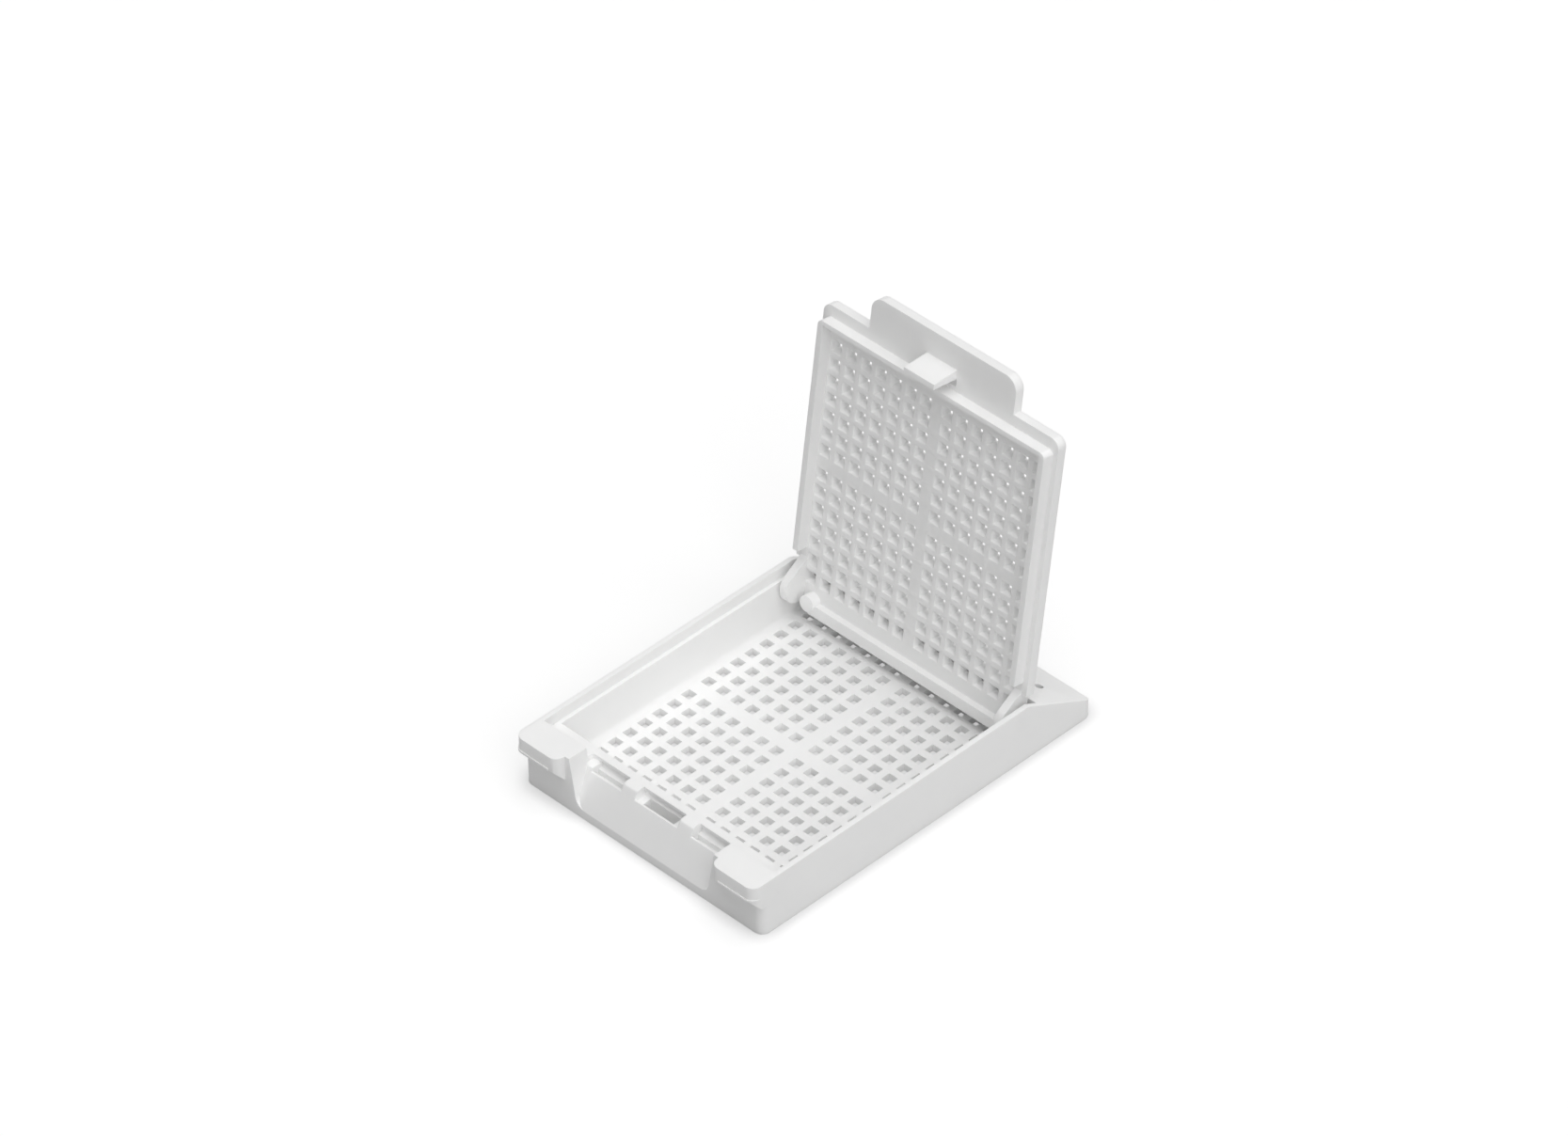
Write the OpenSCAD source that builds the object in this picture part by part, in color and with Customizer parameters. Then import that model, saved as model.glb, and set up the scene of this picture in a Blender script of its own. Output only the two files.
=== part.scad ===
// Tissue cassette: a perforated tray with a sloping writing panel, and a perforated lid that
// pivots in the side walls of the tray and latches behind its front wall.
// X runs along the cassette, from the latch at -X to the writing panel at +X, Y runs across
// and Z is up. The origin is on the underside, at the middle of the overall length and width.

/* [Body] */
// Length of the body along its foot, without the front lips
body_l = 40.1; // [39:0.1:44]
// Width over the side walls
body_w = 28.5; // [27:0.1:32]
// Height of the side walls and of the front corners
body_h = 5.7; // [5.4:0.1:7]
// Radius of the two upright corners at the back
rear_corner_r = 1.2; // [0.5:0.1:2]
// Radius of the two upright corners at the front, below the lips
front_corner_r = 0.9; // [0.4:0.1:1.2]
// Thickness of the perforated floor
floor_t = 0.6; // [0.5:0.05:1]

/* [Compartment] */
// Thickness of a side wall along its top edge
wall_top_t = 0.5; // [0.5:0.05:0.8]
// Width of the narrow seat along each side wall that carries the lid
seat_w = 0.35; // [0.2:0.05:0.5]
// How far below the wall tops the lid's seat lies
seat_d = 1.1; // [1.05:0.05:1.4]
// How much a side wall thickens from the seat down to the floor
wall_draft = 0.2; // [0:0.05:0.3]
// Radius along the foot of each side wall
foot_r = 0.35; // [0.1:0.05:0.6]
// From the front faces of the corner blocks back to the compartment
front_depth = 3.65; // [3.5:0.05:4.5]
// From the compartment back to the rear face
rear_depth = 6.73; // [6:0.05:8]

/* [Perforation] */
// Centre distance of neighbouring holes
hole_pitch = 1.757; // [1.6:0.05:2.4]
// Centre distance of the two rows on either side of a plain cross rib in the floor
floor_cross = 2.38; // [2.2:0.05:3]
// Width of a floor hole at the inner face
floor_hole_in = 1; // [0.9:0.05:1.3]
// Width of a floor hole at the underside
floor_hole_out = 0.8; // [0.6:0.05:1.1]
// How far the hole patterns sit in front of the middle of the compartment
grid_shift = 0.17; // [0:0.01:0.5]
// Narrowest plain border between the holes and the side and rear walls
grid_border = 0.3; // [0.2:0.05:1]
// Narrowest plain border of the floor behind the front wall
front_border = 1.5; // [0.3:0.1:2]
// Diameter of the plain round pad in the middle of each pattern
pad_d = 2; // [1:0.1:2.6]

/* [Front corners] */
// Width of each front corner block along its top
block_w = 5.6; // [5:0.1:6.5]
// How far the lips stand out in front of the corner blocks
lip_out = 1.02; // [0.6:0.02:1.4]
// Thickness of the lips
lip_t = 1.5; // [1:0.1:2]
// How far the underside of the lips drops from their front edge to the blocks
lip_drop = 1.1; // [0:0.1:1.5]
// From the front of a lip back to the lid's seat
lip_l = 3.05; // [2.8:0.05:3.4]
// How far the inner end of a lip stays behind the end face of its block
lip_inset = 0.5; // [0.3:0.05:0.8]
// Radius of a lip's outer front corner
lip_outer_r = 0.95; // [0.6:0.05:1.6]
// Radius of a lip's inner front corner
lip_inner_r = 0.9; // [0.6:0.1:1.6]
// How far the thin bead along a lip's lower edge stands out
bead_out = 0.1; // [0.05:0.01:0.2]
// Height of that bead
bead_h = 0.2; // [0.1:0.05:0.3]

/* [Front wall] */
// Height at which the sloping front face starts between the blocks
toe_z = 0.9; // [0.6:0.1:1.2]
// Lean of that face from upright, in degrees
front_lean = 30; // [24:1:32]
// How much the space between the blocks narrows toward its foot, at each end
recess_draft = 0.65; // [0:0.05:1]
// Radius of the lower corners of that space
recess_r = 1.2; // [0.8:0.1:2]
// Thickness of the upright wall between the compartment and the notches
front_wall_t = 0.8; // [0.7:0.05:1.2]
// Width of the middle notch, which holds the pocket for the hook
mid_notch_w = 5.1; // [4.4:0.1:5.6]
// Width of each outer notch
side_notch_w = 3.6; // [3:0.1:4.2]
// Width of the post between two notches
post_w = 1.6; // [1:0.1:2]
// Depth of the notches below the top of the front wall
notch_d = 1; // [0.7:0.05:1.2]
// Clear width of the notches, from the upright wall to their front edge
notch_l = 1; // [0.85:0.05:1.05]
// How far the back of a notch is cut in below the top edge of the front wall
undercut = 0.2; // [0.1:0.05:0.4]
// Thickness of the edge that stands out over that undercut
brow_t = 0.3; // [0.2:0.05:0.4]
// How far the front edge of a notch lies below the top of the front wall
edge_drop = 0.8; // [0.4:0.05:0.9]
// Depth of the shallow ledge between each outer notch and its corner block
ledge_d = 0.5; // [0.2:0.05:0.7]
// Radius between the sloping face and the top of the posts
crest_r = 0.6; // [0.2:0.1:0.8]
// Thickness of the hidden walls below the front and the writing panel
core_wall = 0.9; // [0.7:0.05:1.1]

/* [Writing panel] */
// From the rear face to the top of the slope
panel_l = 8.15; // [7.6:0.05:9]
// Height at which the slope meets the rear face
rear_edge_h = 1.55; // [1.4:0.05:2.6]
// Thickness of the panel
panel_t = 1; // [0.8:0.05:1.3]
// Radius between the slope and the rear face
rear_edge_r = 1; // [0.3:0.1:1.2]
// Diameter of the small drain hole near each end of the panel
drain_d = 0.85; // [0.5:0.05:1]
// From the rear face to the drain holes
drain_x = 3.6; // [3:0.05:4]
// From the outside of a side wall to its drain hole
drain_y = 3.15; // [2.5:0.05:5]

/* [Hinge] */
// From the compartment's rear wall forward to the pivot
pivot_in = 2.24; // [2.2:0.02:2.6]
// From the top of the side walls down to the pivot
pivot_down = 1.77; // [1.7:0.01:1.8]
// Radius of the lid's rounded end about the pivot
heel_r = 2.1; // [2:0.02:2.15]
// Radius of the round cheeks that carry the pivot pins
cheek_r = 1.6; // [1.4:0.05:1.65]
// From the pivot to the far end of each cheek's foot on the lid
cheek_foot = 2.75; // [2.4:0.05:3]
// Thickness of the cheeks
cheek_t = 0.8; // [0.5:0.05:0.9]
// Diameter of the pivot pins
pin_d = 1.2; // [0.9:0.05:1.5]
// How far each pin reaches past its cheek
pin_l = 0.72; // [0.5:0.02:0.8]
// How far the lid leans back past upright when it rests open, in degrees
open_lean = 8.03; // [4:0.01:8.1]

/* [Lid] */
// Thickness of the lid plate
lid_t = 0.95; // [0.8:0.05:1]
// Centre distance of the two rows on either side of a plain cross rib in the lid
lid_cross = 2.47; // [2.2:0.05:3]
// Width of a lid hole at the inner face
lid_hole_in = 1.2; // [1:0.05:1.35]
// Width of a lid hole at the outer face
lid_hole_out = 0.8; // [0.6:0.05:1]
// Depth below the inner face over which a lid hole narrows
lid_sink = 0.45; // [0.2:0.05:0.7]
// Radius of the lid's two corners beside the tab
lid_corner_r = 0.9; // [0.4:0.1:1.5]
// Length of the finger tab
tab_l = 3.3; // [2.8:0.05:3.6]
// Radius of the tab's two corners
tab_r = 1.3; // [0.5:0.1:2]
// Height of the rim on the inner face
rim_h = 1.15; // [0.8:0.05:1.4]
// Thickness of the rim along the sides
side_rim_t = 0.6; // [0.4:0.05:0.65]
// Thickness of the rim beside the tab
front_rim_t = 0.42; // [0.3:0.02:0.8]
// Radius of the two outer corners of the rim
rim_r = 0.5; // [0.2:0.1:1]
// From the pivot to the hinge end of the side rims
rim_stop = 3.7; // [3:0.05:5]
// From the pivot to where the lid plate narrows to pass between the walls
shoulder = 2.46; // [2.2:0.02:4]
// From the pivot to the inner edge of the hinge bar
bar_start = 0.99; // [0.6:0.01:1.2]
// How far the hinge bar stands out from the inner face
bar_h = 0.7; // [0.4:0.05:1]
// Diameter of the round boss at one end of the hinge bar
boss_d = 1.55; // [0.8:0.05:1.7]
// How far the boss stands out from the inner face
boss_h = 1; // [0.8:0.05:1.3]
// From the nearer cheek to the centre of the boss
boss_in = 1.25; // [0.9:0.05:2]

/* [Hook] */
// Width of the latch hook
hook_w = 3.5; // [2.6:0.1:3.6]
// How far the hook reaches past the lid's inner face
hook_reach = 2.75; // [2.2:0.05:3.2]
// Thickness of the hook at its root
hook_root_t = 0.92; // [0.7:0.02:0.94]
// Thickness of the hook at its tip
hook_tip_t = 0.52; // [0.4:0.02:0.6]
// Length of the window in the lid behind the hook
window_l = 0.75; // [0.5:0.05:0.9]

/* [Fit] */
// Gap between the closed lid and its seat
seat_gap = 0.05; // [0.03:0.01:0.1]
// Gap at each side of the closed lid
lid_gap = 0.07; // [0.05:0.01:0.3]
// Gap between the side rims and the walls
rim_gap = 0.22; // [0.1:0.02:0.4]
// Gap between the front rim and the compartment's front wall
front_gap = 0.27; // [0.08:0.01:0.4]
// Gap between the narrow hinge end of the lid and each wall's foot
hinge_gap = 0.07; // [0.05:0.01:0.15]
// Gap between the tab and each corner block
tab_gap = 0.25; // [0.1:0.05:0.5]
// Gap around the hook in its pocket
hook_gap = 0.07; // [0.05:0.01:0.1]
// Free space below the hook in its pocket
pocket_room = 0.2; // [0.1:0.05:0.5]
// Running clearance around each pivot pin, on the radius
pin_gap = 0.05; // [0.03:0.01:0.08]
// Free space past the end of each pin
pin_end_gap = 0.08; // [0.05:0.01:0.15]

/* [Hidden] */
$fn = 48;
// Overshoot of a cut past the surface that it opens
past = 1;
// Overshoot of a tapered cut, which goes on widening
skim = 0.05;

// Places along X, counted from the front of the lips
overall_l = body_l + lip_out + bead_out;
front_x = -overall_l / 2;
rear_x = overall_l / 2;
block_x = front_x + bead_out + lip_out;
lip_x = front_x + bead_out;
seat_x = lip_x + lip_l;
comp_front_x = block_x + front_depth;
comp_rear_x = rear_x - rear_depth;
comp_mid_x = (comp_front_x + comp_rear_x) / 2;
comp_l = comp_rear_x - comp_front_x;
grid_x = comp_mid_x - grid_shift;
notch_rear_x = comp_front_x - front_wall_t;
notch_edge_x = notch_rear_x - notch_l;
slope_x = rear_x - panel_l;
pivot_x = comp_rear_x - pivot_in;

// Places across, from the middle plane
half_w = body_w / 2;
seat_edge_y = half_w - wall_top_t;
wall_y = seat_edge_y - seat_w;
wall_foot_y = wall_y - wall_draft;
recess_y = half_w - block_w;
recess_foot_y = recess_y - recess_draft;
lip_end_y = recess_y + lip_inset;
side_notch_y = mid_notch_w / 2 + post_w + side_notch_w / 2;

// Heights
seat_z = body_h - seat_d;
notch_z = seat_z - notch_d;
edge_z = seat_z - edge_drop;
lip_z = body_h - lip_t;
pivot_z = body_h - pivot_down;
lid_z = seat_z + seat_gap;
lid_top_z = lid_z + lid_t;

// The lid, as it lies closed
lid_y = seat_edge_y - lid_gap;
hinge_y = wall_foot_y - hinge_gap;
cheek_y = hinge_y - cheek_t;
rim_y = wall_y - rim_gap;
rim_front_x = comp_front_x + front_gap;
tab_x = notch_rear_x - tab_l;
tab_y = recess_y - tab_gap;
shoulder_x = pivot_x - shoulder;
rim_stop_x = pivot_x - rim_stop;
bar_x = pivot_x + bar_start;
heel_x = pivot_x + heel_r;
hook_x = notch_rear_x - hook_gap;
hook_tip_z = lid_z - hook_reach;
pocket_y = hook_w / 2 + hook_gap;
boss_y = cheek_y - boss_in;

// Slopes
panel_slope = (body_h - rear_edge_h) / panel_l;
panel_stretch = sqrt(1 + panel_slope * panel_slope);
panel_drop = panel_t * panel_stretch;
front_slope = tan(front_lean);

// How many holes fit between a cross rib and the end of its room, and where all rows lie
function hole_count(room, cross, hole) = floor((room - cross / 2 - hole / 2) / hole_pitch) + 1;
function hole_rows(low_count, high_count, cross) =
    [for (i = [1 - low_count:0]) i * hole_pitch - cross / 2,
     for (i = [0:high_count - 1]) i * hole_pitch + cross / 2];
floor_low_count = hole_count(grid_x - comp_front_x - front_border, floor_cross, floor_hole_in);
floor_high_count = hole_count(comp_rear_x - grid_x - grid_border, floor_cross, floor_hole_in);
floor_side_count = hole_count(wall_foot_y - grid_border, floor_cross, floor_hole_in);
floor_rows_x = hole_rows(floor_low_count, floor_high_count, floor_cross);
floor_rows_y = hole_rows(floor_side_count, floor_side_count, floor_cross);
lid_end_count = hole_count(bar_x - grid_x - grid_border, lid_cross, lid_hole_in);
lid_side_count = hole_count(rim_y - side_rim_t, lid_cross, lid_hole_in);
lid_rows_x = hole_rows(lid_end_count, lid_end_count, lid_cross);
lid_rows_y = hole_rows(lid_side_count, lid_side_count, lid_cross);

// The holes' levels, each a height and the width of a hole there, and the same a little farther out
floor_levels = [[0, floor_hole_out], [floor_t, floor_hole_in]];
lid_levels = [[lid_z, lid_hole_in], [lid_z + lid_sink, lid_hole_out], [lid_top_z, lid_hole_out]];
function beyond(p, q) = q + (q - p) * skim / abs(q[0] - p[0]);

// An outline drawn in Y and Z, run along X
module along_x(from, to) {
    translate([from, 0, 0])
        rotate([90, 0, 90])
            linear_extrude(to - from)
                children();
}

// An outline drawn in X and Z, run along Y
module along_y(from, to) {
    translate([0, to, 0])
        rotate([90, 0, 0])
            linear_extrude(to - from)
                children();
}

// A part and its mirror image on the other side of the middle plane
module both_sides() {
    for (side = [0, 1])
        mirror([0, side, 0])
            children();
}

// What a rounded corner leaves out, with the corner at the origin and the body in the +X +Y quarter
module corner_waste(r) {
    difference() {
        translate([-past, -past])
            square(r + past);
        translate([r, r])
            circle(r);
    }
}

// A plate outline from corner p to corner q, with one radius each for the corners
// at (p.x, p.y), (q.x, p.y), (q.x, q.y) and (p.x, q.y)
module rounded_outline(p, q, radii) {
    difference() {
        translate(p)
            square(q - p);
        for (i = [0:3]) {
            at_x = i == 1 || i == 2;
            at_y = i > 1;
            if (radii[i] > 0)
                translate([at_x ? q.x : p.x, at_y ? q.y : p.y])
                    mirror([at_x ? 1 : 0, 0])
                        mirror([0, at_y ? 1 : 0])
                            corner_waste(radii[i]);
        }
    }
}

// A row of slots seen from its end, one slot for each place in the list
module slot_row(places, levels) {
    last = len(levels) - 1;
    outline = [beyond(levels[1], levels[0]),
               for (i = [1:1:last - 1]) levels[i],
               beyond(levels[last - 1], levels[last])];
    for (at = places)
        polygon([for (i = [0:last]) [at - outline[i][1] / 2, outline[i][0]],
                 for (i = [last:-1:0]) [at + outline[i][1] / 2, outline[i][0]]]);
}

// Square holes with tapered sides: slots along Y crossed with slots along X
module square_holes(rows_x, rows_y, levels) {
    translate([grid_x, 0, 0])
        intersection() {
            along_y(-half_w, half_w)
                slot_row(rows_x, levels);
            along_x(-comp_l, comp_l)
                slot_row(rows_y, levels);
        }
}

// The plain round pad that closes the middle of a hole pattern
module centre_pad(z, t) {
    translate([grid_x, 0, z])
        cylinder(h = t, d = pad_d);
}

// The outer block of the tray, with rounded upright corners
module body_block() {
    linear_extrude(body_h)
        rounded_outline([block_x, -half_w], [rear_x, half_w],
                        [front_corner_r, rear_corner_r, rear_corner_r, front_corner_r]);
}

// The ledge on top of a front corner block, with a slanting underside and a thin bead along
// the straight part of its front edge
module corner_lip() {
    low_z = lip_z - lip_drop;
    intersection() {
        translate([0, 0, low_z])
            linear_extrude(body_h - low_z)
                rounded_outline([lip_x, lip_end_y], [seat_x, half_w],
                                [lip_inner_r, 0, 0, lip_outer_r]);
        along_y(lip_end_y - past, half_w + past)
            polygon([[lip_x - past, lip_z + past * lip_drop / lip_out],
                     [block_x, low_z], [block_x, low_z - past], [seat_x + past, low_z - past],
                     [seat_x + past, body_h + past], [lip_x - past, body_h + past]]);
    }
    translate([0, 0, lip_z])
        linear_extrude(bead_h)
            rounded_outline([front_x, lip_end_y + lip_inner_r + bead_out], [seat_x, half_w],
                            [0, 0, 0, lip_outer_r]);
}

// The room for the lid above its seat
module lid_room() {
    translate([seat_x, -seat_edge_y, seat_z])
        cube([comp_rear_x - seat_x, 2 * seat_edge_y, seat_d + past]);
}

// Half of the compartment seen from the front: a drafted wall with a round foot
module wall_outline() {
    difference() {
        polygon([[-past, floor_t], [wall_foot_y, floor_t], [wall_foot_y, floor_t + foot_r],
                 [wall_y, seat_z], [wall_y, seat_z + past], [-past, seat_z + past]]);
        translate([wall_foot_y, floor_t])
            mirror([1, 0])
                corner_waste(foot_r);
    }
}

// The space that holds the specimen
module compartment() {
    both_sides()
        along_x(comp_front_x, comp_rear_x)
            wall_outline();
}

// The space between the corner blocks, in front of the sloping face
module front_recess() {
    top_z = body_h + past;
    crest_l = crest_r * tan(45 - front_lean / 2);
    crest_x = block_x + (seat_z - toe_z) * front_slope;
    round_x = crest_x + crest_l;
    intersection() {
        along_y(-half_w, half_w)
            difference() {
                polygon([[block_x - past, toe_z - past / front_slope],
                         [block_x - past, top_z], [round_x, top_z], [round_x, seat_z],
                         [crest_x - crest_l * sin(front_lean), seat_z - crest_l * cos(front_lean)]]);
                translate([round_x, seat_z - crest_r])
                    circle(crest_r);
            }
        along_x(block_x - past, comp_front_x)
            difference() {
                polygon([[-recess_foot_y, toe_z], [recess_foot_y, toe_z],
                         [recess_foot_y, toe_z + recess_r], [recess_y, body_h],
                         [recess_y, top_z], [-recess_y, top_z],
                         [-recess_y, body_h], [-recess_foot_y, toe_z + recess_r]]);
                for (side = [0, 1])
                    mirror([side, 0])
                        translate([-recess_foot_y, toe_z])
                            corner_waste(recess_r);
            }
    }
}

// A notch in the front wall: an undercut back that curves into the floor, and a low front edge
module notch(middle, width) {
    along_y(middle - width / 2, middle + width / 2)
        union() {
            translate([notch_edge_x, notch_z + notch_d / 2])
                square([notch_l, notch_d + past]);
            difference() {
                translate([notch_edge_x, notch_z])
                    square([notch_l + undercut, notch_d - brow_t]);
                translate([notch_rear_x + undercut, notch_z])
                    mirror([1, 0])
                        corner_waste(notch_d / 2);
            }
            translate([block_x, edge_z])
                square([notch_rear_x - block_x - notch_l / 2, edge_drop + past]);
        }
}

// The shallow ledge between an outer notch and its corner block
module notch_ledge() {
    from_y = side_notch_y + side_notch_w / 2 - skim;
    translate([notch_edge_x - skim, from_y, seat_z - ledge_d])
        cube([notch_l + skim, recess_y - from_y, ledge_d + skim]);
}

// The blind pocket in the middle notch that the hook drops into
module hook_pocket() {
    translate([notch_edge_x, -pocket_y, hook_tip_z - pocket_room])
        cube([notch_l, 2 * pocket_y, seat_z]);
}

// The hollow underside of the front, which keeps the walls thin
module front_core() {
    skin = core_wall / cos(front_lean);
    core_x = block_x + core_wall;
    wall_x = comp_front_x - core_wall;
    roof_z = notch_z - core_wall;
    core_y = half_w - core_wall;
    low_z = toe_z + (core_wall - skin) / front_slope;
    roof_x = block_x + skin + (roof_z - toe_z) * front_slope;
    both_sides() {
        along_y(pocket_y + core_wall, core_y)
            polygon([[core_x, -past], [core_x, low_z], [roof_x, roof_z], [wall_x, roof_z],
                     [wall_x, -past]]);
        translate([core_x, recess_y + core_wall, -past])
            cube([wall_x - core_x, core_y - recess_y - core_wall, seat_z + past]);
    }
}

// What is cut off above the writing panel and around the rounded rear edge
module above_panel() {
    top_z = body_h + past;
    round_x = rear_x - rear_edge_r;
    round_z = rear_edge_h + rear_edge_r * (panel_slope - panel_stretch);
    end_x = round_x + rear_edge_r * panel_slope / panel_stretch;
    end_z = round_z + rear_edge_r / panel_stretch;
    along_y(-half_w - past, half_w + past)
        difference() {
            translate([slope_x, round_z])
                square([rear_x + past - slope_x, top_z - round_z]);
            polygon([[slope_x - past, round_z - past], [slope_x - past, body_h + past * panel_slope],
                     [end_x, end_z], [round_x, round_z - past]]);
            translate([round_x, round_z])
                circle(rear_edge_r);
        }
}

// The hollow underside of the writing panel
module panel_core() {
    core_front_x = comp_rear_x + core_wall;
    core_rear_x = rear_x - core_wall;
    core_y = half_w - core_wall;
    along_y(-core_y, core_y)
        polygon([[core_front_x, -past], [core_rear_x, -past],
                 for (x = [core_rear_x, core_front_x])
                     [x, body_h - (x - slope_x) * panel_slope - panel_drop]]);
}

// The small drain holes near the ends of the writing panel
module drain_holes() {
    both_sides()
        translate([rear_x - drain_x, half_w - drain_y, 0])
            cylinder(h = body_h, d = drain_d);
}

// The blind holes in the side walls that take the pivot pins
module pivot_holes() {
    both_sides()
        translate([pivot_x, hinge_y, pivot_z])
            rotate([-90, 0, 0])
                cylinder(h = pin_l + pin_end_gap, r = pin_d / 2 + pin_gap);
}

module base() {
    color("white") {
        difference() {
            union() {
                body_block();
                both_sides()
                    corner_lip();
            }
            lid_room();
            compartment();
            front_recess();
            notch(0, mid_notch_w);
            both_sides() {
                notch(side_notch_y, side_notch_w);
                notch_ledge();
            }
            hook_pocket();
            front_core();
            above_panel();
            panel_core();
            drain_holes();
            pivot_holes();
            square_holes(floor_rows_x, floor_rows_y, floor_levels);
        }
        centre_pad(0, floor_t);
    }
}

// The lid plate with its tab; the hinge end is rounded about the pivot
module lid_plate() {
    translate([0, 0, lid_z])
        linear_extrude(lid_t) {
            rounded_outline([notch_rear_x, -lid_y], [shoulder_x, lid_y],
                            [lid_corner_r, 0, 0, lid_corner_r]);
            rounded_outline([tab_x, -tab_y], [notch_rear_x + past, tab_y], [tab_r, 0, 0, tab_r]);
            translate([shoulder_x - past, -hinge_y])
                square([shoulder + past, 2 * hinge_y]);
        }
    intersection() {
        heel(hinge_y);
        translate([pivot_x, -hinge_y, lid_z])
            cube([heel_r, 2 * hinge_y, lid_t]);
    }
}

// A cylinder about the pivot axis, as wide as twice y
module heel(y) {
    translate([pivot_x, -y, pivot_z])
        rotate([-90, 0, 0])
            cylinder(h = 2 * y, r = heel_r);
}

// The rim around three sides of the inner face
module lid_rim() {
    translate([0, 0, lid_z - rim_h])
        linear_extrude(rim_h + lid_t / 2)
            difference() {
                rounded_outline([rim_front_x, -rim_y], [rim_stop_x, rim_y], [rim_r, 0, 0, rim_r]);
                translate([rim_front_x + front_rim_t, side_rim_t - rim_y])
                    square([rim_stop_x - rim_front_x, 2 * (rim_y - side_rim_t)]);
            }
}

// The bar that stiffens the hinge end, from one cheek to a round boss beside the other
module hinge_bar() {
    intersection() {
        heel(cheek_y + cheek_t / 2);
        translate([bar_x, -cheek_y, lid_z - bar_h])
            cube([heel_r, cheek_y + boss_y, bar_h + lid_t / 2]);
    }
    translate([bar_x, boss_y, lid_z - boss_h])
        cylinder(h = boss_h + lid_t / 2, d = boss_d);
}

// A round cheek with its pivot pin, and a straight flank down to the foot of the cheek
module hinge_cheek() {
    foot = [-cheek_foot, lid_z - pivot_z];
    turn = atan2(foot.y, foot.x) + acos(cheek_r / norm(foot));
    translate([pivot_x, cheek_y, pivot_z])
        rotate([-90, 0, 0])
            cylinder(h = cheek_t, r = cheek_r);
    along_y(cheek_y, hinge_y)
        translate([pivot_x, pivot_z])
            polygon([[0, 0], [cheek_r * cos(turn), cheek_r * sin(turn)], foot,
                     foot + [0, lid_t / 2], [0, foot.y + lid_t / 2]]);
    translate([pivot_x, cheek_y, pivot_z])
        rotate([-90, 0, 0])
            cylinder(h = cheek_t + pin_l, d = pin_d);
}

// The latch hook below the root of the tab
module latch_hook() {
    along_y(-hook_w / 2, hook_w / 2)
        polygon([[hook_x, lid_z + lid_t / 2], [hook_x, hook_tip_z],
                 [hook_x - hook_tip_t, hook_tip_z], [hook_x - hook_root_t, lid_z],
                 [hook_x - hook_root_t, lid_z + lid_t / 2]]);
}

// The window in the lid behind the hook
module hook_window() {
    translate([hook_x, -pocket_y, lid_z - past])
        cube([window_l, 2 * pocket_y, lid_t + 2 * past]);
}

// The lid as it lies closed on its seat
module closed_lid() {
    difference() {
        union() {
            lid_plate();
            lid_rim();
            hinge_bar();
            both_sides()
                hinge_cheek();
            latch_hook();
        }
        square_holes(lid_rows_x, lid_rows_y, lid_levels);
        hook_window();
    }
    centre_pad(lid_z, lid_t);
}

// The lid at rest: turned up about the pivot until it leans back over the panel
module lid() {
    color("white")
        translate([pivot_x, 0, pivot_z])
            rotate([0, 90 + open_lean, 0])
                translate([-pivot_x, 0, -pivot_z])
                    closed_lid();
}

base();
lid();
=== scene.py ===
# %% [markdown]
# # A tissue cassette in white acetal
# The cassette is a shallow perforated tray with a perforated lid that stands open on two pivot
# pins. The construction model already holds every form at its real size. This lesson dresses
# it: the two mouldings get the small edge radii that a mould leaves, a white acetal finish, and
# a soft studio round them.

# %% Load the construction model
import math

import bpy
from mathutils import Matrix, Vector


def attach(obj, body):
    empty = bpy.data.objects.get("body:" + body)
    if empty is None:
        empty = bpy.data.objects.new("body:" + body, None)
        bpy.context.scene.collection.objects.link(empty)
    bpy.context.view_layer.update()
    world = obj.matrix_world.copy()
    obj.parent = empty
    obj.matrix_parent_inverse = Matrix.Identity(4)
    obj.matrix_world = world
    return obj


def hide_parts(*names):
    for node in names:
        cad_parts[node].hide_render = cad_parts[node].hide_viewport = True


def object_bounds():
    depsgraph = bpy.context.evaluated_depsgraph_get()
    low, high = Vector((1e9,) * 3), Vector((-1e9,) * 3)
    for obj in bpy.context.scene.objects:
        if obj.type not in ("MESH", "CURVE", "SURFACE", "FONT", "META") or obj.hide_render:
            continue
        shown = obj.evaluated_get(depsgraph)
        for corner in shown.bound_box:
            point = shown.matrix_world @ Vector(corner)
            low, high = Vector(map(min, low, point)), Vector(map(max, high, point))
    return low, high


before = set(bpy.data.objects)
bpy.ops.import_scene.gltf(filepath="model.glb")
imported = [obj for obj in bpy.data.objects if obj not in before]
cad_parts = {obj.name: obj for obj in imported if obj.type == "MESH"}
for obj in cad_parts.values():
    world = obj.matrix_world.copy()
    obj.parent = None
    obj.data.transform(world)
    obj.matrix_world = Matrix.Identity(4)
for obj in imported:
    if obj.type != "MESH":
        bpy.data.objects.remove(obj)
CAD_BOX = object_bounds()
MM = 0.001
print("nodes:", sorted(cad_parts))
print("size in mm:", [round(v / MM, 2) for v in CAD_BOX[1] - CAD_BOX[0]])


# %% [markdown]
# ## Two small helpers
# Colours are chosen as sRGB hex values, the way a swatch is read, but shaders work in linear
# light, so one function turns one into the other. A second function adds a node, fills in its
# settings and links its inputs, which keeps each material readable as a short recipe.

# %% Colour and node helpers
def linear(hex_colour):
    """An sRGB hex colour as a linear RGBA tuple."""
    channels = [int(hex_colour[i:i + 2], 16) / 255 for i in (0, 2, 4)]
    return (*[c / 12.92 if c <= 0.04045 else ((c + 0.055) / 1.055) ** 2.4 for c in channels], 1.0)


def add_node(tree, kind, settings=None, inputs=None):
    """Adds a node. An input that is a socket is linked, and any other value is set."""
    node = tree.nodes.new(kind)
    for name, value in (settings or {}).items():
        setattr(node, name, value)
    for name, value in (inputs or {}).items():
        if isinstance(value, bpy.types.NodeSocket):
            tree.links.new(value, node.inputs[name])
        else:
            node.inputs[name].default_value = value
    return node


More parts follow.
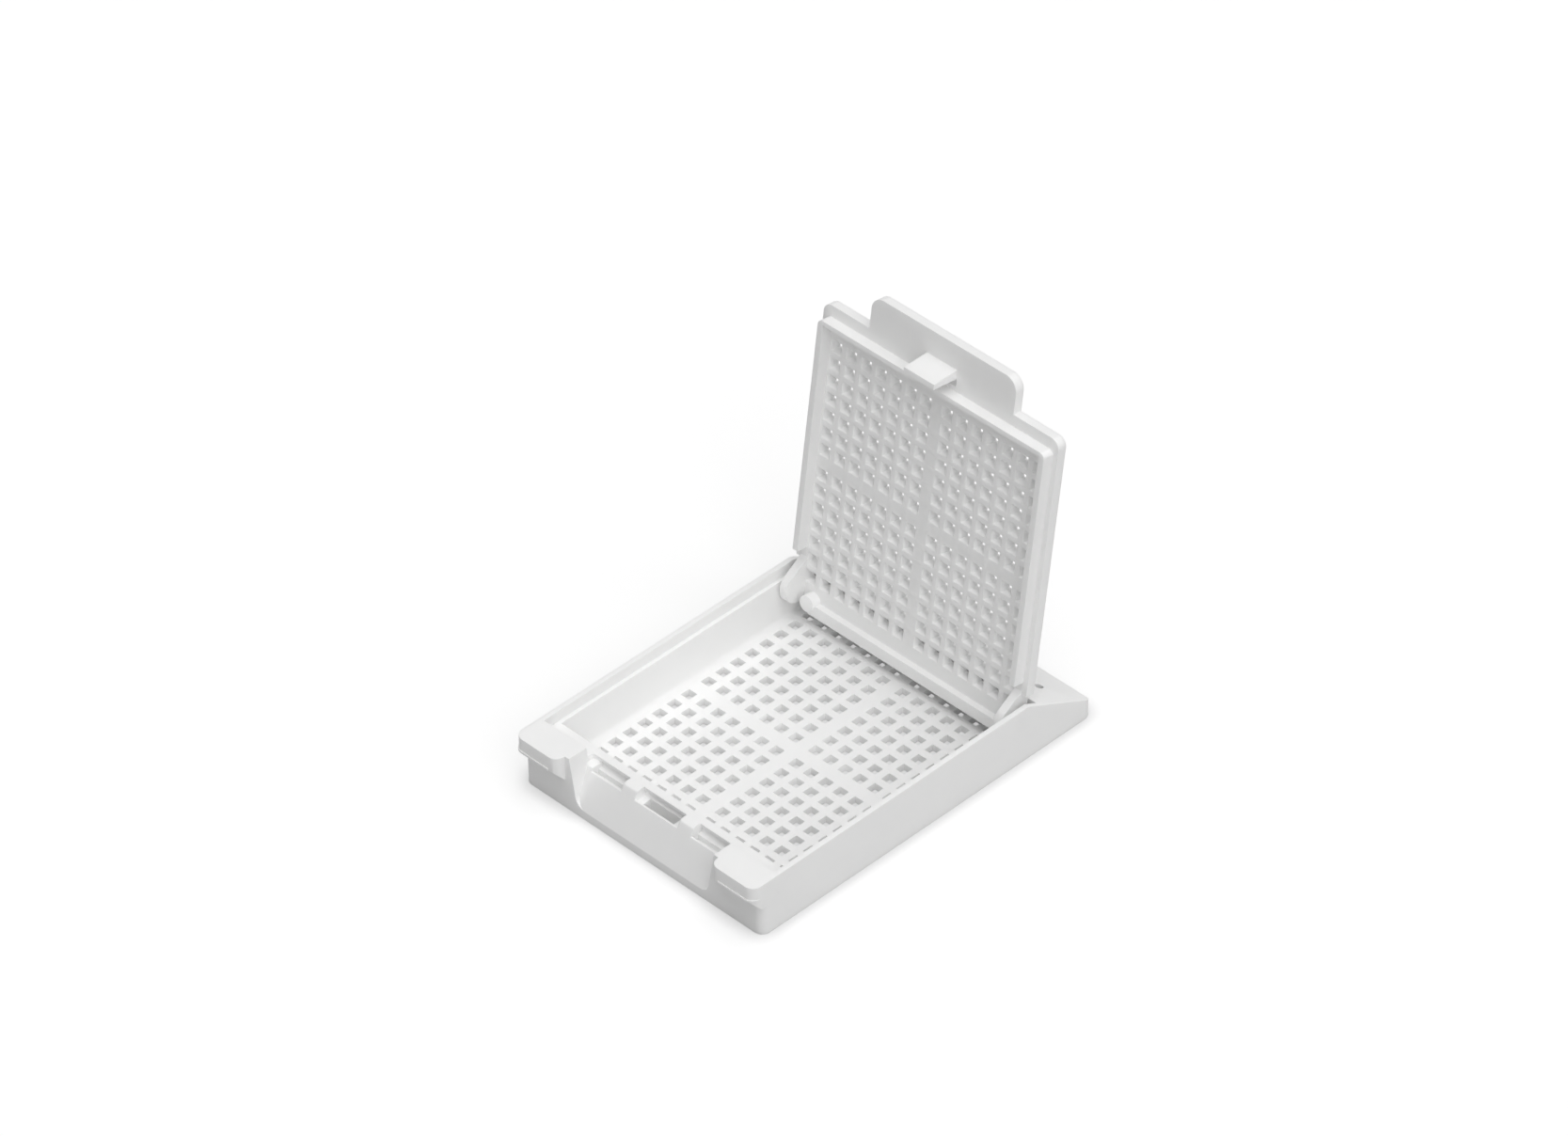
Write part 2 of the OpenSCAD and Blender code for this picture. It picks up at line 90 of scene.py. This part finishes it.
def new_material(name):
    """An empty node material and its output node."""
    material = bpy.data.materials.new(name)
    material.use_nodes = True
    material.node_tree.nodes.clear()
    return material, add_node(material.node_tree, "ShaderNodeOutputMaterial")


print("a mid grey in linear light:", round(linear("808080")[0], 3))

# %% [markdown]
# ## The camera
# The camera stands well back with a long lens, so the cassette shows almost without
# perspective: its long axis runs up to the right, and the open lid faces the viewer. Its place
# is given in metres in the model's own frame, and its turn in degrees.

# %% Camera
CAMERA_PLACE = (-0.40200, -0.40186, 0.49001)
CAMERA_TURN = (50.416, 0.3607, -45.1351)
LENS_MM = 202.49
SENSOR_MM = 36.0

bpy.ops.object.select_all(action="DESELECT")
bpy.ops.object.camera_add(
    location=CAMERA_PLACE, rotation=[math.radians(a) for a in CAMERA_TURN])
camera = bpy.context.object
camera.name = "view_camera"
camera.data.sensor_fit = "HORIZONTAL"
camera.data.sensor_width = SENSOR_MM
camera.data.lens = LENS_MM
camera.data.clip_start = 0.01
camera.data.clip_end = 20.0
bpy.context.scene.camera = camera
print("camera distance in mm:", round(Vector(CAMERA_PLACE).length / MM))

# %% [markdown]
# ## White acetal
# Histology cassettes are injection moulded in acetal (POM), a dense, milky, slightly waxy
# plastic. The mould is finely eroded, so the surface is satin. Light enters it a little and
# comes out again, which softens thin edges, so the shader has a share of subsurface
# scattering. Two noise patterns work below that: clouds a few millimetres wide that barely
# change the tone, and the fine grain of the eroded mould, drawn at 0.25 mm because the real
# grain is too fine to show.

# %% Moulded acetal
ACETAL_LIGHT = "F8F8F7"
ACETAL_DARK = "F3F3F3"
ACETAL_IOR = 1.48
CLOUD_MM = 4.0
GRAIN_MM = 0.25
GRAIN_DEPTH_MM = 0.01
GRAIN_STRENGTH = 0.25
SMOOTHEST = 0.42
ROUGHEST = 0.54
MILKINESS = 0.4
LIGHT_REACH_MM = 0.5


def moulded_acetal():
    """White acetal with a satin, finely eroded surface."""
    material, output = new_material("moulded_white_acetal")
    tree = material.node_tree
    place = add_node(tree, "ShaderNodeTexCoord").outputs["Object"]
    clouds = add_node(tree, "ShaderNodeTexNoise", None, {
        "Vector": place, "Scale": 1 / (CLOUD_MM * MM), "Detail": 3.0, "Roughness": 0.5})
    tone = add_node(tree, "ShaderNodeMix", {"data_type": "RGBA"}, {
        "Factor": clouds.outputs["Fac"]})
    tone.inputs[6].default_value = linear(ACETAL_DARK)
    tone.inputs[7].default_value = linear(ACETAL_LIGHT)
    grain = add_node(tree, "ShaderNodeTexNoise", None, {
        "Vector": place, "Scale": 1 / (GRAIN_MM * MM), "Detail": 2.0, "Roughness": 0.6})
    satin = add_node(tree, "ShaderNodeMapRange", None, {
        "Value": grain.outputs["Fac"], "To Min": SMOOTHEST, "To Max": ROUGHEST})
    bump = add_node(tree, "ShaderNodeBump", None, {
        "Height": grain.outputs["Fac"], "Strength": GRAIN_STRENGTH,
        "Distance": GRAIN_DEPTH_MM * MM})
    shader = add_node(tree, "ShaderNodeBsdfPrincipled", None, {
        "Base Color": tone.outputs[2],
        "Roughness": satin.outputs["Result"],
        "Normal": bump.outputs["Normal"],
        "IOR": ACETAL_IOR,
        "Subsurface Weight": MILKINESS,
        "Subsurface Scale": LIGHT_REACH_MM * MM,
        "Subsurface Radius": (1.0, 1.0, 1.0),
    })
    tree.links.new(shader.outputs["BSDF"], output.inputs["Surface"])
    return material


acetal = moulded_acetal()
print("material:", acetal.name, "with", len(acetal.node_tree.nodes), "nodes")

# %% [markdown]
# ## The outer latch notches
# The front wall has three notches, and the two outer ones are moulded as deep, dark pockets
# behind a thin front edge. The construction model keeps their floor higher. On the dressed copy
# the flat floor of each outer notch is selected by its place and extruded straight down.

# %% Deepen the outer notches
NOTCH_FLOOR_MM = 3.6
NOTCH_REAR_MM = -16.9
OUTER_NOTCH_FROM_MM = 3.5
POCKET_DEEPER_MM = 0.55
SAME_LEVEL = 0.01 * MM
FACING_UP = 0.999


def deepen_outer_notches(piece):
    """Extrudes the floors of the two outer notches downwards. The piece is in object mode."""
    bpy.ops.object.mode_set(mode="EDIT")
    bpy.ops.mesh.select_mode(type="FACE")
    bpy.ops.mesh.select_all(action="DESELECT")
    bpy.ops.object.mode_set(mode="OBJECT")
    lowered = 0
    for face in piece.data.polygons:
        on_floor = (face.normal.z > FACING_UP
                    and abs(face.center.z - NOTCH_FLOOR_MM * MM) < SAME_LEVEL
                    and face.center.x < NOTCH_REAR_MM * MM
                    and abs(face.center.y) > OUTER_NOTCH_FROM_MM * MM)
        if on_floor:
            face.select = True
            lowered += 1
    bpy.ops.object.mode_set(mode="EDIT")
    bpy.ops.mesh.extrude_region_move(
        TRANSFORM_OT_translate={"value": (0, 0, -POCKET_DEEPER_MM * MM)})
    bpy.ops.object.mode_set(mode="OBJECT")
    print("notch floors lowered:", lowered, "faces")


# %% [markdown]
# ## Rounded edges
# A moulded edge is never sharp: the mould's own corners leave a radius of about a tenth of a
# millimetre, and that radius is what catches the light along every rim and hole. Each
# construction solid is copied, its loose triangles are merged, flat areas are joined into larger
# faces so that only true edges are left, and a Bevel modifier rounds those. A Weighted Normal
# modifier then lets the large faces decide the shading, so that flat walls stay flat next to
# their rounded edges.

# %% Copy a solid and round its edges
EDGE_MM = 0.06
EDGE_SEGMENTS = 2
MERGE = 0.0005 * MM
FLAT = math.radians(0.5)
SHARP = math.radians(28)
SMOOTH_BELOW = math.radians(35)
BIG_FACE_WEIGHT = 90


def moulding(node, name, shaping=None):
    """A copy of a construction solid with its sharp edges rounded, riding on its body.

    shaping is a function that works on the copy before its edges are rounded.
    """
    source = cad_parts[node]
    piece = bpy.data.objects.new(name, source.data.copy())
    bpy.context.scene.collection.objects.link(piece)
    bpy.ops.object.select_all(action="DESELECT")
    piece.select_set(True)
    bpy.context.view_layer.objects.active = piece
    bpy.ops.object.mode_set(mode="EDIT")
    bpy.ops.mesh.select_all(action="SELECT")
    bpy.ops.mesh.customdata_custom_splitnormals_clear()
    bpy.ops.mesh.remove_doubles(threshold=MERGE)
    bpy.ops.mesh.tris_convert_to_quads(face_threshold=FLAT, shape_threshold=math.pi)
    bpy.ops.object.mode_set(mode="OBJECT")
    if shaping:
        shaping(piece)
    rounding = piece.modifiers.new("mould_radius", "BEVEL")
    rounding.width = EDGE_MM * MM
    rounding.segments = EDGE_SEGMENTS
    rounding.limit_method = "ANGLE"
    rounding.angle_limit = SHARP
    rounding.use_clamp_overlap = True
    rounding.miter_outer = "MITER_ARC"
    bpy.ops.object.modifier_apply(modifier=rounding.name)
    bpy.ops.object.shade_smooth_by_angle(angle=SMOOTH_BELOW)
    evening = piece.modifiers.new("flat_faces_stay_flat", "WEIGHTED_NORMAL")
    evening.mode = "FACE_AREA"
    evening.weight = BIG_FACE_WEIGHT
    evening.keep_sharp = True
    bpy.ops.object.modifier_apply(modifier=evening.name)
    piece.data.materials.clear()
    piece.data.materials.append(acetal)
    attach(piece, node)
    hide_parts(node)
    print(name, "has", len(piece.data.polygons), "faces")
    return piece


moulding("base", "tray_moulding", deepen_outer_notches)
moulding("lid", "lid_moulding")

# %% [markdown]
# ## The floor and the white surround
# A white sweep would be lit until it is white. Here the floor is a plain matt plane at the
# height that the cassette stands on. To the camera and in reflections it is half matt paper and
# half its own white, which together come out white where nothing shades it and keep the soft
# shadow of the tray. Right under the tray and in its holes an Ambient Occlusion node darkens
# the paper's colour: this is painted shade, as where two surfaces nearly touch. For every other
# ray the floor is a light grey, so it throws a natural amount of light back up.

# %% Floor
FLOOR_SIZE = 6.0
FLOOR_BOUNCE = "BCBCBC"
FLOOR_SEEN = "C8C8C8"
FLOOR_GLOW = 0.5
# reach and samples of the painted shade that darkens the floor colour under the tray
PAINTED_SHADE_REACH_MM = 1.5
PAINTED_SHADE_SAMPLES = 8


def paper_floor():
    """Matt paper that looks white to the camera, with painted shade under the tray and in its
    holes, and only reflects light to everything else.
    """
    material, output = new_material("matt_white_paper")
    tree = material.node_tree
    path = add_node(tree, "ShaderNodeLightPath")
    looked_at = add_node(tree, "ShaderNodeMath", {"operation": "MAXIMUM"})
    tree.links.new(path.outputs["Is Camera Ray"], looked_at.inputs[0])
    tree.links.new(path.outputs["Is Glossy Ray"], looked_at.inputs[1])
    bounce = add_node(tree, "ShaderNodeBsdfDiffuse", None, {"Color": linear(FLOOR_BOUNCE)})
    # painted shade: the Ambient Occlusion colour darkens the floor's seen colour under the tray
    # and in its holes
    painted_contact_shade = add_node(tree, "ShaderNodeAmbientOcclusion", {"samples": PAINTED_SHADE_SAMPLES}, {
        "Color": linear(FLOOR_SEEN), "Distance": PAINTED_SHADE_REACH_MM * MM})
    matt = add_node(tree, "ShaderNodeBsdfDiffuse", None, {"Color": painted_contact_shade.outputs["Color"]})
    glow = add_node(tree, "ShaderNodeEmission", None, {
        "Color": linear("FFFFFF"), "Strength": FLOOR_GLOW})
    seen = add_node(tree, "ShaderNodeAddShader")
    tree.links.new(matt.outputs["BSDF"], seen.inputs[0])
    tree.links.new(glow.outputs["Emission"], seen.inputs[1])
    choice = add_node(tree, "ShaderNodeMixShader", None, {"Fac": looked_at.outputs[0]})
    tree.links.new(bounce.outputs["BSDF"], choice.inputs[1])
    tree.links.new(seen.outputs["Shader"], choice.inputs[2])
    tree.links.new(choice.outputs["Shader"], output.inputs["Surface"])
    return material


bpy.ops.object.select_all(action="DESELECT")
bpy.ops.mesh.primitive_plane_add(size=FLOOR_SIZE, location=(0, 0, CAD_BOX[0].z))
floor = bpy.context.object
floor.name = "studio_floor"
floor.data.materials.append(paper_floor())
print("floor at z =", round(floor.location.z, 5))

# %% [markdown]
# ## Light
# Four wide, soft lamps light the cassette, and each is so far away that it lights every part
# of it alike. The strongest stands overhead and makes the upward faces the brightest. One at
# the right of the view lights the long side and the sides of every rim and hole, one comes from
# behind the viewer, and a weak one from the hinge end keeps the far faces open. The front faces
# get the least light, so each edge reads against its neighbour. The world adds the little light
# that a pale room throws into every hole and pocket, and it is a white surround for the camera
# and for reflections.

# %% Lamps and surround
LAMP_SPREAD = 60
ROOM_LIGHT = 0.12
LAMPS = {
    "overhead": (0, 90, 1.46),
    "right_side": (-90, 35, 0.81),
    "behind_the_viewer": (-135, 35, 0.64),
    "hinge_end": (0, 35, 0.28),
}


def soft_lamp(name, azimuth, elevation, strength):
    """A sun lamp as wide as a large softbox. The angles say where it stands, in degrees."""
    turn, rise = math.radians(azimuth), math.radians(elevation)
    towards = Vector((math.cos(rise) * math.cos(turn), math.cos(rise) * math.sin(turn),
                      math.sin(rise)))
    bpy.ops.object.select_all(action="DESELECT")
    bpy.ops.object.light_add(type="SUN", location=towards)
    lamp = bpy.context.object
    lamp.name = name + "_lamp"
    lamp.data.angle = math.radians(LAMP_SPREAD)
    lamp.data.energy = strength
    lamp.rotation_euler = towards.to_track_quat("Z", "Y").to_euler()
    return lamp


for lamp_name, (azimuth, elevation, strength) in LAMPS.items():
    soft_lamp(lamp_name, azimuth, elevation, strength)

world = bpy.data.worlds.new("white_surround")
bpy.context.scene.world = world
world.use_nodes = True
world.node_tree.nodes.clear()
path = add_node(world.node_tree, "ShaderNodeLightPath")
looked_at = add_node(world.node_tree, "ShaderNodeMath", {"operation": "MAXIMUM"})
world.node_tree.links.new(path.outputs["Is Camera Ray"], looked_at.inputs[0])
world.node_tree.links.new(path.outputs["Is Glossy Ray"], looked_at.inputs[1])
brightness = add_node(world.node_tree, "ShaderNodeMath", {"operation": "MAXIMUM"}, {
    0: looked_at.outputs[0], 1: ROOM_LIGHT})
surround = add_node(world.node_tree, "ShaderNodeBackground", None, {
    "Color": linear("FFFFFF"), "Strength": brightness.outputs[0]})
world_output = add_node(world.node_tree, "ShaderNodeOutputWorld")
world.node_tree.links.new(surround.outputs["Background"], world_output.inputs["Surface"])
print("lamps:", ", ".join(LAMPS))

# %% [markdown]
# ## Finish
# The Standard view keeps each colour as it was chosen.

# %% View settings
bpy.context.scene.view_settings.view_transform = "Standard"
